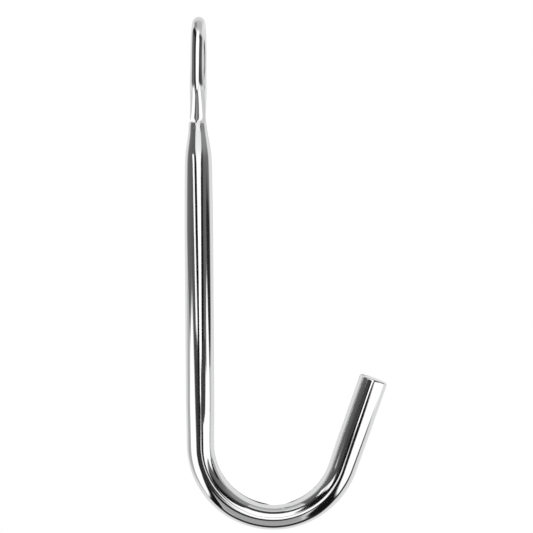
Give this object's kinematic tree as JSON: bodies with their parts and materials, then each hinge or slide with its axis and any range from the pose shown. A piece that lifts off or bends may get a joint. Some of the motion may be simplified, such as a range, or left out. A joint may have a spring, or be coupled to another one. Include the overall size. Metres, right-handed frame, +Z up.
{
  "type": "meat hook",
  "caption": "Polished steel J hook with a blunt upturned tip and a fixed ring eye at right angles to the bend, for hanging from a rail.",
  "frame": {"origin": "top of the hole in the ring, where the hook hangs on its rail", "axes": "+Z up along the shank, +X from the shank towards the upturned tip, Y along the ring's plane and across the bend"},
  "size_m": [0.0852, 0.0366, 0.2174],
  "materials": {
    "bar_steel": "mirror polished stainless steel",
    "ring_steel": "mirror polished stainless steel",
    "weld_steel": "polished weld, slightly less even than the bar"
  },
  "bodies": {
    "root": {"hook_bar": "bar_steel", "eye_ring": "ring_steel", "front_weld": "weld_steel", "rear_weld": "weld_steel"}
  },
  "joints": []
}
